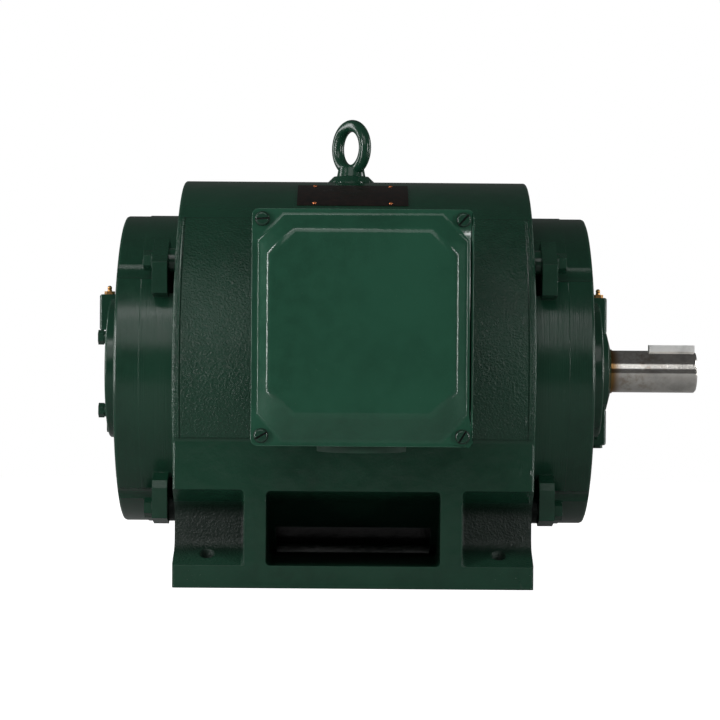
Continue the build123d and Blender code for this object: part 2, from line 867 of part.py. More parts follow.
def grease_fitting(depth):
    """A straight fitting on a cap's top block: stub, hex, neck and ball tip."""
    x = fitting_x(depth)
    z = cap_block_high
    body = Pos(x, 0, z - fitting_stub_length / 2) * Cylinder(fitting_stub_radius, fitting_stub_length)
    nut = extrude(RegularPolygon(fitting_across / sqrt(3), 6), fitting_hex_height)
    body += Pos(x, 0, z) * nut
    neck_z = z + fitting_hex_height
    neck_height = fitting_nipple_height - fitting_nipple_radius
    body += Pos(x, 0, neck_z + neck_height / 2) * Cylinder(fitting_nipple_radius * fitting_neck_share,
                                                             neck_height)
    body += Pos(x, 0, neck_z + 1) * Cylinder(fitting_nipple_radius, 2)
    body += Pos(x, 0, neck_z + neck_height) * Sphere(fitting_nipple_radius)
    return body


def drive_relief_plug():
    """The hex plug under the drive cap's lower block."""
    x = fitting_x(drive_block_depth)
    z = -cap_block_high
    body = Pos(x, 0, z + fitting_stub_length / 2) * Cylinder(fitting_stub_radius, fitting_stub_length)
    nut = extrude(RegularPolygon(plug_across / sqrt(3), 6), plug_head_height)
    return body + Pos(x, 0, z - plug_head_height) * nut


def rear_relief_plug():
    """The hex plug low on the rear cap's face, modelled at the drive end and mirrored."""
    face = bracket_end + rear_cap_thickness
    body = relief_plug_bar(plug_stub_radius(), face - plug_length, face)
    return body + hex_bar(plug_across, face, face + plug_head_height, 0, -cap_screw_radius)


def air_baffle():
    """The sheet cone that leads air from the bracket's inlets into the rotor's fan."""
    outer = bracket_radius - bracket_wall - slip_clearance
    sheet = baffle_sheet
    rim_x = frame_end + baffle_rim_offset
    rim_width = baffle_rim_width
    throat_x = frame_end - baffle_throat_offset
    throat = rotor_radius + baffle_throat_gap
    points = [
        (throat_x, throat),
        (throat_x, throat + sheet),
        (rim_x, outer),
        (rim_x + rim_width, outer),
        (rim_x + rim_width, outer - sheet),
        (rim_x + sheet, outer - sheet),
        (throat_x + sheet, throat),
    ]
    return turned(points)


# ---- conduit box ----
def box_bolt_places():
    """The (x, z) of the four bolts that hold the box on its pad."""
    half = box_bolt_spacing / 2
    return [(box_x + i * half, box_pad_z + j * half) for i in (-1, 1) for j in (-1, 1)]


def cover_screw_places():
    """The (x, z) of the four cover screws."""
    half_x = cover_width / 2 - cover_screw_inset
    half_z = cover_height / 2 - cover_screw_inset
    return [(box_x + i * half_x, box_z + j * half_z) for i in (-1, 1) for j in (1, -1)]


def cover_plate(y_low, y_high):
    """A plate with the cover's outline, by its distances to the front."""
    outline = RectangleRounded(cover_width, cover_height, cover_corner_radius)
    plate = Pos(0, 0, y_low) * extrude(outline, y_high - y_low)
    return Pos(box_x, 0, box_z) * Rot(90, 0, 0) * plate


def box_shell(inset, y_low, y_high):
    """A rounded box body, shrunk by an inset on its four sides."""
    radius = box_corner_radius - inset
    outline = RectangleRounded(box_width - 2 * inset, box_height - 2 * inset, radius)
    body = Pos(0, 0, y_low) * extrude(outline, y_high - y_low)
    return Pos(box_x, 0, box_z) * Rot(90, 0, 0) * body


def hub_centre_y():
    """The conduit hub stands midway through the depth of the box."""
    return -(box_back_y + box_front_y) / 2


def conduit_box():
    """The cast box with its rim, screw bosses, conduit hub and lead hole."""
    body = box_shell(0, box_back_y, box_front_y)
    body += cover_plate(box_front_y - box_rim_thickness, box_front_y)
    for x, z in cover_screw_places():
        body += front_bar(cover_boss_radius, box_front_y - cover_boss_length, box_front_y, x, z)
    bottom = box_z - box_height / 2
    hub_top = bottom + box_wall
    hub_height = hub_drop + box_wall
    hub = Cylinder(hub_radius, hub_height)
    body += Pos(box_x, hub_centre_y(), hub_top - hub_height / 2) * hub
    inside = box_shell(box_wall, box_back_y + box_back_wall, box_front_y + 1)
    for x, z in cover_screw_places():
        inside -= front_bar(cover_boss_radius, box_front_y - cover_boss_length, box_front_y + 1, x, z)
    body -= inside
    for x, z in cover_screw_places():
        radius = cover_screw_diameter / 2 + thread_clearance
        body -= front_bar(radius, box_front_y - cover_screw_length, box_front_y + 1, x, z)
    body -= Pos(box_x, hub_centre_y(), bottom) * Cylinder(hub_bore_radius, 3 * hub_height)
    body -= front_bar(lead_hole_radius, box_back_y - 1, box_back_y + box_back_wall + 1, box_x, box_pad_z)
    for x, z in box_bolt_places():
        radius = box_bolt_diameter / 2 + slip_clearance
        body -= front_bar(radius, box_back_y - 1, box_back_y + box_back_wall + 1, x, z)
    x, z = ground_place()
    floor_y = box_back_y + box_back_wall
    body -= front_bar(cover_screw_diameter / 2 + thread_clearance, box_back_y + 2, floor_y + 1, x, z)
    return body


def box_gasket():
    """The gasket between the frame's pad and the box."""
    body = block(box_x - box_pad_width / 2, box_x + box_pad_width / 2, -box_back_y, -box_pad_y,
                 box_pad_z - box_pad_height / 2, box_pad_z + box_pad_height / 2)
    body -= front_bar(lead_hole_radius, box_pad_y - 1, box_back_y + 1, box_x, box_pad_z)
    for x, z in box_bolt_places():
        body -= front_bar(box_bolt_diameter / 2 + slip_clearance, box_pad_y - 1, box_back_y + 1, x, z)
    return body


def cover_gasket():
    """The gasket under the cover's border."""
    body = cover_plate(box_front_y, cover_back_y)
    body -= box_shell(box_wall, box_front_y - 1, cover_back_y + 1)
    for x, z in cover_screw_places():
        body += front_bar(cover_boss_radius, box_front_y, cover_back_y, x, z)
        radius = cover_screw_diameter / 2 + slip_clearance
        body -= front_bar(radius, box_front_y - 1, cover_back_y + 1, x, z)
    return body & cover_plate(box_front_y, cover_back_y)


def octagon(left, right, low, high, cut):
    """A rectangle with cut corners, as points on the cover's face."""
    return [
        (left + cut, low),
        (right - cut, low),
        (right, low + cut),
        (right, high - cut),
        (right - cut, high),
        (left + cut, high),
        (left, high - cut),
        (left, low + cut),
    ]


def cover_panel(shrink, y_low, y_high):
    """The raised panel of the cover, as a solid shrunk on its sides by an amount."""
    half_x = cover_width / 2 - cover_border - shrink
    half_z = cover_height / 2 - cover_border - shrink
    foot = octagon(-half_x, half_x, -half_z, half_z, cover_corner_cut)
    top = octagon(-half_x + cover_side_slope, half_x - cover_side_slope, -half_z + cover_foot_slope,
                  half_z - cover_top_slope, cover_corner_cut - cover_side_slope / 1.5)
    foot_face = Pos(0, 0, y_low) * make_face(Polyline(*foot, close=True))
    top_face = Pos(0, 0, y_high) * make_face(Polyline(*top, close=True))
    panel = loft([foot_face, top_face], ruled=True)
    return panel


def conduit_box_cover():
    """The pressed cover: a flat border, cut corners around its screws and a raised blank panel."""
    panel = cover_panel(0, cover_front_y, cover_front_y + cover_rise)
    crown = panel.faces().sort_by(Axis.Z)[-1]
    panel = fillet(crown.edges(), cover_edge_radius)
    hollow = cover_panel(cover_thickness, cover_back_y - 1, cover_front_y + cover_rise - cover_thickness)
    place = Pos(box_x, 0, box_z) * Rot(90, 0, 0)
    body = cover_plate(cover_back_y, cover_front_y) + place * panel - place * hollow
    for x, z in cover_screw_places():
        radius = cover_screw_diameter / 2 + slip_clearance
        body -= front_bar(radius, cover_back_y - 1, cover_front_y + 1, x, z)
    return body


def slotted_screw(x, z, seat_y, tip_y, turn):
    """A round-headed slotted screw that points inwards from its seat."""
    head = Cylinder(cover_screw_head_radius, cover_screw_head_height)
    rim = head.edges().filter_by(GeomType.CIRCLE).group_by(Axis.Z)[-1]
    head = fillet(rim, cover_screw_head_height * cover_screw_dome_share)
    slot_z = cover_screw_head_height / 2 - cover_screw_slot_depth / 2
    slot = Pos(0, 0, slot_z) * Box(3 * cover_screw_head_radius, cover_screw_slot_width,
                                   cover_screw_slot_depth)
    head -= slot
    place = Pos(x, -seat_y - cover_screw_head_height / 2, z) * Rot(90, 0, 0) * Rot(0, 0, turn)
    return place * head + front_bar(cover_screw_diameter / 2, tip_y, seat_y, x, z)


def cover_screws():
    """The four cover screws, each left at its own angle."""
    tip = box_front_y - cover_screw_length + 2
    places = zip(cover_screw_places(), cover_screw_turns)
    return group([slotted_screw(x, z, cover_front_y, tip, turn) for (x, z), turn in places])


def ground_place():
    """The (x, z) of the earth screw on the back wall of the box."""
    return box_x - ground_screw_offset, box_pad_z - ground_screw_offset


def ground_screw():
    """The earth screw inside the box."""
    x, z = ground_place()
    floor_y = box_back_y + box_back_wall
    return slotted_screw(x, z, floor_y, box_back_y + 3, 15.0)


def conduit_box_bolts():
    """The four hex bolts that hold the box on its pad, from inside."""
    seat = box_back_y + box_back_wall
    head_height = cap_screw_head_height
    bolts = []
    for x, z in box_bolt_places():
        head = extrude(RegularPolygon(cap_screw_head_across / sqrt(3), 6), head_height)
        head = Pos(x, -seat, z) * Rot(90, 0, 0) * head
        bolts.append(head + front_bar(box_bolt_diameter / 2, frame_inner_radius, seat, x, z))
    return group(bolts)


# ---- leads ----
def lead_places():
    """The (x, z) where the leads come through the pad."""
    places = []
    for index in range(lead_count):
        angle = radians(360.0 * index / lead_count + 90.0)
        places.append((box_x + lead_circle_radius * cos(angle), box_pad_z + lead_circle_radius * sin(angle)))
    return places


def lead_run_end(index):
    """How far to the front a lead runs before it turns down: the upper ones pass over the lower ones."""
    x, z = lead_places()[index]
    return box_back_y + lead_run + lead_row_spread * (z - box_pad_z + lead_circle_radius)


def lead_start_y(z):
    """Where a lead leaves the stator: just clear of the core's round side."""
    reach = abs(z) - lead_radius
    return -sqrt(stator_outer_radius**2 - reach**2) - part_clearance


def lead(index):
    """One lead: out through the pad, then round and down into the box."""
    x, z = lead_places()[index]
    front = -lead_run_end(index)
    low = z - lead_bend_radius
    start = (x, lead_start_y(z), z)
    bend_start = (x, front, z)
    bend_end = (x, front - lead_bend_radius, low)
    end = (x, front - lead_bend_radius, low - lead_drop)
    middle_offset = lead_bend_radius * sin(radians(45))
    rise = lead_bend_radius - middle_offset
    middle = (x, front - middle_offset, z - rise)
    path = Line(start, bend_start) + ThreePointArc(bend_start, middle, bend_end) + Line(bend_end, end)
    section = Plane(origin=start, z_dir=(0, -1, 0)) * Circle(lead_radius)
    return sweep(section, path=path)


def lead_lug(index):
    """The crimped ring terminal on the end of one lead."""
    x, z = lead_places()[index]
    y = -lead_run_end(index) - lead_bend_radius
    top = z - lead_bend_radius - lead_drop
    barrel_solid = Pos(x, y, top - lug_barrel_length / 2) * Cylinder(lug_barrel_radius, lug_barrel_length)
    eye_z = top - lug_barrel_length - lug_eye_radius + lug_eye_overlap
    eye = front_bar(lug_eye_radius, -y - lug_eye_thickness / 2, -y + lug_eye_thickness / 2, x, eye_z)
    hole = front_bar(lug_eye_hole_radius, -y - lug_eye_thickness, -y + lug_eye_thickness, x, eye_z)
    return barrel_solid + eye - hole


# ---- nameplate ----
def nameplate():
    """The blank plate, rolled to the barrel."""
    half = plate_length / 2
    sheet = ring(frame_radius + plate_thickness + press_clearance, frame_radius + press_clearance,
                 plate_x - half, plate_x + half)
    wedge = sector(plate_low_angle, plate_high_angle, frame_radius * 2, plate_x - half, plate_x + half)
    plate = sheet & wedge
    for turn, x in plate_pin_places():
        plate -= turn * Pos(x, 0, frame_radius) * Cylinder(plate_pin_stub_radius + running_clearance,
                                                          frame_wall)
    return plate


def plate_pin_places():
    """The turn about the centreline, and the x, of each pin."""
    places = []
    for angle in (plate_low_angle + plate_pin_edge_angle, plate_high_angle - plate_pin_edge_angle):
        for x in (plate_x - plate_pin_spacing / 2, plate_x + plate_pin_spacing / 2):
            places.append((Rot(90.0 - angle, 0, 0), x))
    return places


def nameplate_pins():
    """The four round-headed drive pins of the nameplate."""
    pins = []
    top = frame_radius + plate_thickness + press_clearance
    for turn, x in plate_pin_places():
        size = 2 * plate_pin_radius
        dome = Pos(0, 0, -plate_pin_dome_drop) * Sphere(plate_pin_radius)
        head = dome & Pos(0, 0, plate_pin_radius) * Box(size, size, size)
        stub_length = plate_thickness
        stub = Pos(0, 0, -stub_length / 2) * Cylinder(plate_pin_stub_radius, stub_length)
        pins.append(turn * Pos(x, 0, top) * (head + stub))
    return group(pins)


# ---- assembly ----
def as_modelled(shape):
    """The drive end's pieces stay where they are modelled, as rear_of moves them to the rear."""
    return shape


def export_end(end, place, bearing):
    """Write what both ends have: a bracket with its bolts, a bearing, an inner cap and a baffle."""
    export(end + "_bracket", place(end_bracket()))
    export(end + "_bracket_bolts", place(bracket_bolts()))
    export(end + "_bracket_lock_washers", place(bracket_lock_washers()))
    export(end + "_bearing_inner_ring", place(bearing_inner_ring(bearing)))
    export(end + "_bearing_outer_ring", place(bearing_outer_ring(bearing)))
    export(end + "_bearing_balls", place(bearing_balls(bearing)))
    export(end + "_bearing_cage", place(bearing_cage(bearing)))
    export(end + "_inner_bearing_cap", place(inner_cap(bearing)))
    export(end + "_air_baffle", place(air_baffle()))


def main():
    """Write every piece to the parts folder."""
    os.makedirs("parts", exist_ok=True)
    export("frame_housing", frame_housing())
    export("lifting_eyebolt", lifting_eyebolt())
    export("stator_core", stator_core())
    export("stator_windings", stator_windings())
    export("rotor_core", rotor_core())
    cage_ring = rotor_end_ring()
    export("rotor_end_rings", group([cage_ring, rear_of(cage_ring)]))
    export("shaft", shaft())
    export("shaft_key", key_solid(0))

    export_end("drive", as_modelled, drive_bearing)
    export_end("rear", rear_of, rear_bearing)

    export("drive_bearing_cap", drive_bearing_cap())
    export("rear_bearing_cap", rear_of(rear_bearing_cap()))
    export("drive_cap_screws", cap_screws(bracket_end + rear_cap_thickness - cap_pocket_depth()))
    export("rear_cap_screws", rear_of(cap_screws(bracket_end + rear_cap_thickness)))
    export("drive_grease_fitting", grease_fitting(drive_block_depth))
    export("rear_grease_fitting", rear_of(grease_fitting(rear_block_depth)))
    export("drive_relief_plug", drive_relief_plug())
    export("rear_relief_plug", rear_of(rear_relief_plug()))
    export("shaft_seal", shaft_seal())
    export("rear_preload_spring", rear_of(preload_spring()))
    export("rear_snap_ring", rear_of(snap_ring()))

    export("conduit_box", conduit_box())
    export("conduit_box_gasket", box_gasket())
    export("conduit_box_bolts", conduit_box_bolts())
    export("cover_gasket", cover_gasket())
    export("conduit_box_cover", conduit_box_cover())
    export("cover_screws", cover_screws())
    export("ground_screw", ground_screw())
    export("motor_leads", group([lead(index) for index in range(lead_count)]))
    export("lead_lugs", group([lead_lug(index) for index in range(lead_count)]))

    export("nameplate", nameplate())
    export("nameplate_pins", nameplate_pins())


main()
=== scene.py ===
# %% [markdown]
# # An open drip-proof electric motor
# The motor's solids come from its CAD model and stay where they are. This script gives them
# their paint, steel and rubber, makes the one piece whose soft bends a solid model leaves sharp,
# and sets up a plain white studio around them.

import math

import bmesh
import bpy
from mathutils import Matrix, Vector


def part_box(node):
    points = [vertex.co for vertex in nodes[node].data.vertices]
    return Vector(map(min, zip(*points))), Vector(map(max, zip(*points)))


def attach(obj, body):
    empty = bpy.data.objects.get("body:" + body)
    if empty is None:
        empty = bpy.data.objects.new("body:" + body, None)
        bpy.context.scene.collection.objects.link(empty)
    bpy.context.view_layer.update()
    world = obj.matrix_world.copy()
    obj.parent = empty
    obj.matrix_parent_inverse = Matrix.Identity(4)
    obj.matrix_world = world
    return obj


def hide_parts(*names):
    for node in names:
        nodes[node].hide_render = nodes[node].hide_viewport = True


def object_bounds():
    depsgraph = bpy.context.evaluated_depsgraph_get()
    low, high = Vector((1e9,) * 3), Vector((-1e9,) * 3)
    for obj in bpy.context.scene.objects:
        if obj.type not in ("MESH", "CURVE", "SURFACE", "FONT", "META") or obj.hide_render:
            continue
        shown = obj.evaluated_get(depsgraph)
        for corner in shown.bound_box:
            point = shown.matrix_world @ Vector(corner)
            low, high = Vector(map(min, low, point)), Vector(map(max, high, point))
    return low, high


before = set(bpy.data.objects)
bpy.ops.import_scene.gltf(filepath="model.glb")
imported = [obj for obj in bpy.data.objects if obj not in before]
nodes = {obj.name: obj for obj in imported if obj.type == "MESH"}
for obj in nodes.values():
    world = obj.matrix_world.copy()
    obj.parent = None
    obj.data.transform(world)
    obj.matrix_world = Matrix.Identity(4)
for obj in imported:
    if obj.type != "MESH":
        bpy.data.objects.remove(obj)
cad_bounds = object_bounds()
print("nodes loaded:", len(nodes), "box:", cad_bounds)

# %% [markdown]
# ## Where things are
# The shaft's axis runs along X, and its height is that of the shaft's middle. The box's cover
# gives the places of its pressed twin and of the box's lower edge.

# %% Read the main places
shaft_low, shaft_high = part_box("shaft")
cover_low, cover_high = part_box("conduit_box_cover")
axis_z = (shaft_low[2] + shaft_high[2]) / 2
screw_face_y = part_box("cover_screws")[0][1]
print("shaft axis height:", round(axis_z, 4), "cover from", cover_low, "to", cover_high)

# %% [markdown]
# ## Shader maths as Python
# A material is a graph of nodes. Wiring it by hand is long to read, so a small class wraps a
# socket and turns `a * b + 1` into Math nodes.


# %% Wires
class Wire:
    """The output of a node, which can be added, multiplied and so on."""

    def __init__(self, graph, socket):
        self.graph = graph
        self.socket = socket

    def math(self, operation, *values):
        return self.graph.add("ShaderNodeMath", {"operation": operation}, dict(enumerate(values)))

    def __add__(self, other):
        return self.math("ADD", self, other)

    def __sub__(self, other):
        return self.math("SUBTRACT", self, other)

    def __rsub__(self, other):
        return self.math("SUBTRACT", other, self)

    def __mul__(self, other):
        return self.math("MULTIPLY", self, other)

    def __truediv__(self, other):
        return self.math("DIVIDE", self, other)

    def __pow__(self, other):
        return self.math("POWER", self, other)

    __radd__ = __add__
    __rmul__ = __mul__

    def step(self, low, high):
        """0 below low, 1 above high, and smooth in between."""
        sockets = {"Value": self, "From Min": low, "From Max": high}
        return self.graph.add("ShaderNodeMapRange", {"interpolation_type": "SMOOTHSTEP"}, sockets)

    def bigger(self, other):
        return self.math("MAXIMUM", self, other)

    def size(self):
        return self.math("ABSOLUTE", self)


print("wires ready")

# %% [markdown]
# ## Graphs and finishes
# Every other node is made by one method, `add`, which takes the node's type, its settings and
# its sockets. A finish is a material with a few helpers, and it reads object coordinates only,
# so that the look rides with a piece when the piece moves.

# %% Graphs and finishes
BEVEL_SAMPLES = 4


class Graph:
    """A tree of shader nodes."""

    def __init__(self, tree):
        self.tree = tree

    def put(self, socket, value):
        """Gives a socket a wire or a constant."""
        if isinstance(value, Wire):
            self.tree.links.new(value.socket, socket)
        else:
            socket.default_value = value

    def add(self, kind, settings, sockets, output=0):
        """Makes a node and returns one of its outputs."""
        node = self.tree.nodes.new(kind)
        for name, value in settings.items():
            setattr(node, name, value)
        for name, value in sockets.items():
            self.put(node.inputs[name], value)
        return Wire(self, node.outputs[output])

    def for_the_camera(self, seen, other):
        """Joins two shaders: one for what the camera sees, one for what light and mirrors see."""
        camera_ray = self.add("ShaderNodeLightPath", {}, {}, "Is Camera Ray")
        return self.add("ShaderNodeMixShader", {}, {0: camera_ray, 1: other, 2: seen})


class Finish(Graph):
    """A material, with the helpers that its nodes are made with."""

    def __init__(self, name):
        self.material = bpy.data.materials.new(name)
        self.material.use_nodes = True
        super().__init__(self.material.node_tree)
        self.shader = self.tree.nodes["Principled BSDF"]
        self.place = self.add("ShaderNodeTexCoord", {}, {}, "Object")
        parts = self.add("ShaderNodeSeparateXYZ", {}, {0: self.place}).socket.node
        self.x, self.y, self.z = (Wire(self, socket) for socket in parts.outputs)

    def vector(self, x, y, z):
        return self.add("ShaderNodeCombineXYZ", {}, {0: x, 1: y, 2: z})

    def noise(self, scale, detail=2.0, rough=0.5, at=None, w=None):
        """Soft blotches, 0 to 1. scale is in blotches to the metre, and w is a fourth axis."""
        sockets = {"Vector": at or self.place, "Scale": scale, "Detail": detail,
                   "Roughness": rough}
        if w is None:
            return self.add("ShaderNodeTexNoise", {}, sockets)
        return self.add("ShaderNodeTexNoise", {"noise_dimensions": "4D"}, {**sockets, "W": w})

    def mix(self, factor, first, second):
        """A blend of two colours."""
        sockets = {0: factor, 6: first, 7: second}
        return self.add("ShaderNodeMix", {"data_type": "RGBA"}, sockets, output=2)

    def relief(self, height, distance, edge=0.0):
        """Dents and bumps of a depth in metres, over edges that are softened by a radius."""
        sockets = {"Height": height, "Distance": distance}
        if edge:
            sockets["Normal"] = self.add("ShaderNodeBevel", {"samples": BEVEL_SAMPLES},
                                         {"Radius": edge})
        self.set(Normal=self.add("ShaderNodeBump", {}, sockets))

    def set(self, **sockets):
        """Sets the shader's own sockets. An underscore stands for a space."""
        for name, value in sockets.items():
            self.put(self.shader.inputs[name.replace("_", " ")], value)


def colour(red, green, blue):
    return (red, green, blue, 1.0)


def shade(base, share):
    """The same colour, darker."""
    return colour(*(share * value for value in base[:3]))


print("graphs and finishes ready")

# %% [markdown]
# ## Green machine enamel
# The whole motor was sprayed after it was put together, so castings, screws and the lifting eye
# share one dark green gloss paint. What differs is the metal under it: sand-cast sides are
# pitted, turned faces keep their fine rings, and pressed sheet is smooth. So one function lays
# the paint and each finish gives it its own relief.

# %% The paint
GREEN = colour(0.011, 0.055, 0.031)
# Painted light: the cover's lighter copy of the same enamel.
GREEN_LIT_COVER = colour(0.020, 0.093, 0.054)
GREEN_DUSTY = colour(0.055, 0.115, 0.082)
# Painted shade: a near-black green for the hollow under the frame's barrel.
GREEN_PAINTED_SHADE = colour(0.002, 0.006, 0.004)
PRIMER_GREY = colour(0.42, 0.43, 0.40)
TONE_SCALE, CLOUD_SCALE, DUST_SCALE = 9.0, 60.0, 260.0
DEEP_SHARE, CLOUD_SHARE = 0.75, 0.7
CLOUD_GLOSS_LOSS, WEAR_GLOSS_LOSS = 0.1, 0.35


def lay_paint(finish, wear, gloss, dust, green=GREEN):
    """Green enamel with slow changes of tone, dust in the hollows and worn, pale chips."""
    tone = finish.noise(TONE_SCALE, 3.0).step(0.35, 0.7)
    cloud = finish.noise(CLOUD_SCALE, 4.0, 0.6)
    specks = finish.noise(DUST_SCALE, 3.0, 0.7).step(0.6, 0.8)
    base = finish.mix(tone, shade(green, DEEP_SHARE), green)
    base = finish.mix(cloud.step(0.3, 0.75) * CLOUD_SHARE, base, green)
    base = finish.mix(specks * dust, base, GREEN_DUSTY)
    base = finish.mix(wear, base, PRIMER_GREY)
    finish.set(Base_Color=base, Roughness=gloss + CLOUD_GLOSS_LOSS * cloud + WEAR_GLOSS_LOSS * wear)
    return base


print("enamel:", GREEN[:3])

# %% [markdown]
# ## The cast frame
# The frame's two flanks are left as they came out of the sand, between a crease near the top and
# one below the middle. There the paint is speckled like orange peel over coarse pits, and it has
# gathered in a bead along each end. Above and below, the casting was dressed and the paint lies
# smooth, with a few runs near the rims. The recesses over the feet are rough too, and the feet's
# corners are chipped. The hollow under the barrel is darkened to near black with painted shade.
# The flank is found from the sine of the direction from the shaft's axis, and the rest from plain
# heights and lengths.

# %% Cast frame finish
FLANK_LOW_CREASE = (-0.34, -0.31)
FLANK_HIGH_CREASE = (0.765, 0.785)
FLANK_RADIUS = (0.2095, 0.2125)
BEAD_START, BEAD_END = (0.1835, 0.1850), (0.1855, 0.1870)
RIM_START = (0.145, 0.18)
RECESS_START = (0.112, 0.118)
RECESS_TOP, RECESS_FLOOR, RECESS_BLEND = 0.092, 0.022, (0.0, 0.004)
HOLLOW_DEPTH, HOLLOW_TOP, HOLLOW_SHADE_SHARE = 0.19, 0.11, 0.85
FOOT_START, FOOT_TOP, FOOT_EDGE = (0.12, 0.198), 0.035, 0.012

frame_paint = Finish("green_enamel_cast")
f = frame_paint
along = f.x.size()
rise = f.z - axis_z
radius = (f.y * f.y + rise * rise) ** 0.5
lift = rise / radius
flank = (lift.step(*FLANK_LOW_CREASE) * (1.0 - lift.step(*FLANK_HIGH_CREASE))
         * radius.step(*FLANK_RADIUS))
recess = (along.step(*RECESS_START) * (RECESS_TOP - f.z).step(*RECESS_BLEND)
          * (f.z - RECESS_FLOOR).step(*RECESS_BLEND))
# Painted shade mask: the hollow under the barrel, seen through the base window.
painted_shade_hollow = (HOLLOW_DEPTH - f.y.size()).step(0.0, 0.03) * (HOLLOW_TOP - f.z).step(0.0, 0.02)
bead = along.step(*BEAD_START) * (1.0 - along.step(*BEAD_END)) * flank
foot = along.step(*FOOT_START) * (FOOT_TOP - f.z).step(0.0, 0.03)
print("masks: flank, recess, hollow, bead, foot")

# %% [markdown]
# The pits, the grain between them, the soft lumps of the casting, the orange peel of the paint
# and its runs are noises of different scales, added up to one height. Runs are noise that
# changes fast along X and slowly downwards. Chips show the grey primer.

# %% Relief and wear of the cast frame
CAST_DEPTH, CAST_EDGE = 0.0012, 0.0018
FLAT_SAND, ROUGH_SAND = 0.1, 0.9
RUN_ACROSS, RUN_DOWN = 150.0, 30.0
pits = f.noise(400.0, 3.0, 0.6).step(0.3, 0.75)
grain = f.noise(1000.0, 2.0)
lumps = f.noise(28.0, 2.0)
peel = f.noise(90.0, 2.0)
stretched = f.vector(f.x * RUN_ACROSS, f.y * RUN_DOWN, f.z * RUN_DOWN)
runs = f.noise(1.0, 2.0, at=stretched).step(0.55, 0.75)
chips = f.noise(420.0, 3.0, 0.7).step(0.69, 0.72) * foot
edge_chips = f.noise(170.0, 5.0, 0.75).step(0.66, 0.69) * foot
wear = chips.bigger(edge_chips * (FOOT_EDGE - f.z).step(0.0, 0.01))
painted = lay_paint(f, wear, gloss=0.15 + 0.22 * recess, dust=0.2)
# Painted shade: the hollow under the barrel is blended towards near black.
f.set(Base_Color=f.mix(painted_shade_hollow * HOLLOW_SHADE_SHARE, painted, GREEN_PAINTED_SHADE))
sand = (pits * 0.36 + grain * 0.15) * (flank * ROUGH_SAND + recess * ROUGH_SAND + FLAT_SAND)
height = sand + lumps * 0.9 + peel * 0.2 + runs * f.x.step(*RIM_START) * 0.5 + bead * 1.1
f.relief(height, CAST_DEPTH, edge=CAST_EDGE)
print(f.material.name, "nodes:", len(f.tree.nodes))

# %% [markdown]
# ## Turned end brackets
# The brackets are turned in a lathe, which leaves rings round the shaft. Noise that is stretched
# along the circle gives such rings: it changes fast with the radius and with X, and slowly with
# the direction from the axis. The direction is used and not the angle, which would jump at half
# a turn.

# %% Turned bracket finish
FINE_RINGS, COARSE_RINGS = 900.0, 190.0
ON_THE_AXIS = 1e-9
TURNED_DEPTH, SMALL_EDGE = 0.0005, 0.0012


def turned_rings(finish, fine, slow=1.6):
    """Noise drawn out into rings round the shaft's axis, with fine rings to the metre."""
    up = finish.z - axis_z
    out = (finish.y * finish.y + up * up + ON_THE_AXIS) ** 0.5
    at = finish.vector(out * fine, finish.y / out * slow, up / out * slow)
    return finish.noise(1.0, 3.0, 0.6, at=at, w=finish.x * fine)


bracket_paint = Finish("green_enamel_turned")
b = bracket_paint
bracket_chips = b.noise(380.0, 4.0, 0.7).step(0.725, 0.745) * (0.1 - b.z).step(0.0, 0.05)
lay_paint(b, bracket_chips, gloss=0.17, dust=0.2)
turning = turned_rings(b, FINE_RINGS) * 0.6 + turned_rings(b, COARSE_RINGS) * 0.3
b.relief(turning + b.noise(70.0, 3.0) * 0.3, TURNED_DEPTH, edge=SMALL_EDGE)
print(b.material.name, "nodes:", len(b.tree.nodes))

# %% [markdown]
# ## Smooth sheet and small castings
# The box's cover is pressed sheet, so its paint is the smoothest, and it gets a lighter copy of the
# motor's one green: painted light. The caps, the box and the eye are small castings with a soft
# orange peel. Under the box the paint is dull, because the spray hardly reached it.

# %% Sheet and small castings
PEEL_DEPTH = 0.0004
UNDERSIDE_TOP = cover_low[2] + 0.012
cover_paint = Finish("green_enamel_sheet")
c = cover_paint
nicks = c.noise(520.0, 3.0, 0.7).step(0.755, 0.77)
lay_paint(c, nicks * 0.8, gloss=0.13, dust=0.12, green=GREEN_LIT_COVER)
c.relief(c.noise(190.0, 3.0) * 0.6 + c.noise(35.0, 2.0) * 0.8, PEEL_DEPTH)


def small_casting(name, gloss, dull=None):
    """Enamel with nicks over soft orange peel. dull is a mask of places without gloss."""
    finish = Finish(name)
    small_nicks = finish.noise(480.0, 3.0, 0.7).step(0.74, 0.76)
    if dull:
        gloss = gloss + 0.5 * dull(finish)
    lay_paint(finish, small_nicks, gloss=gloss, dust=0.2)
    orange_peel = finish.noise(150.0, 2.0) * 0.4 + finish.noise(45.0, 2.0) * 0.8
    finish.relief(orange_peel, PEEL_DEPTH, edge=SMALL_EDGE)
    return finish


def under_the_box(finish):
    return (UNDERSIDE_TOP - finish.z).step(0.0, 0.004)


box_paint = small_casting("green_enamel_box", 0.16, dull=under_the_box)
cap_paint = small_casting("green_enamel_smooth", 0.15)
print("small castings:", box_paint.material.name, cap_paint.material.name)

# %% [markdown]
# ## Painted fasteners
# Painted screws show a little bare metal where a tool touched them. The cover's slotted screws
# are painted near black below the face of their heads, in the slot and round the heads' sides:
# painted shade.

# %% Fasteners
SCREW_DEPTH, SCREW_EDGE = 0.0003, 0.0008
screw_paint = Finish("green_enamel_fastener")
q = screw_paint
lay_paint(q, q.noise(700.0, 4.0, 0.7).step(0.66, 0.72) * 0.35, gloss=0.18, dust=0.3)
q.relief(q.noise(600.0, 3.0), SCREW_DEPTH, edge=SCREW_EDGE)

slot_paint = Finish("green_enamel_slotted")
t = slot_paint
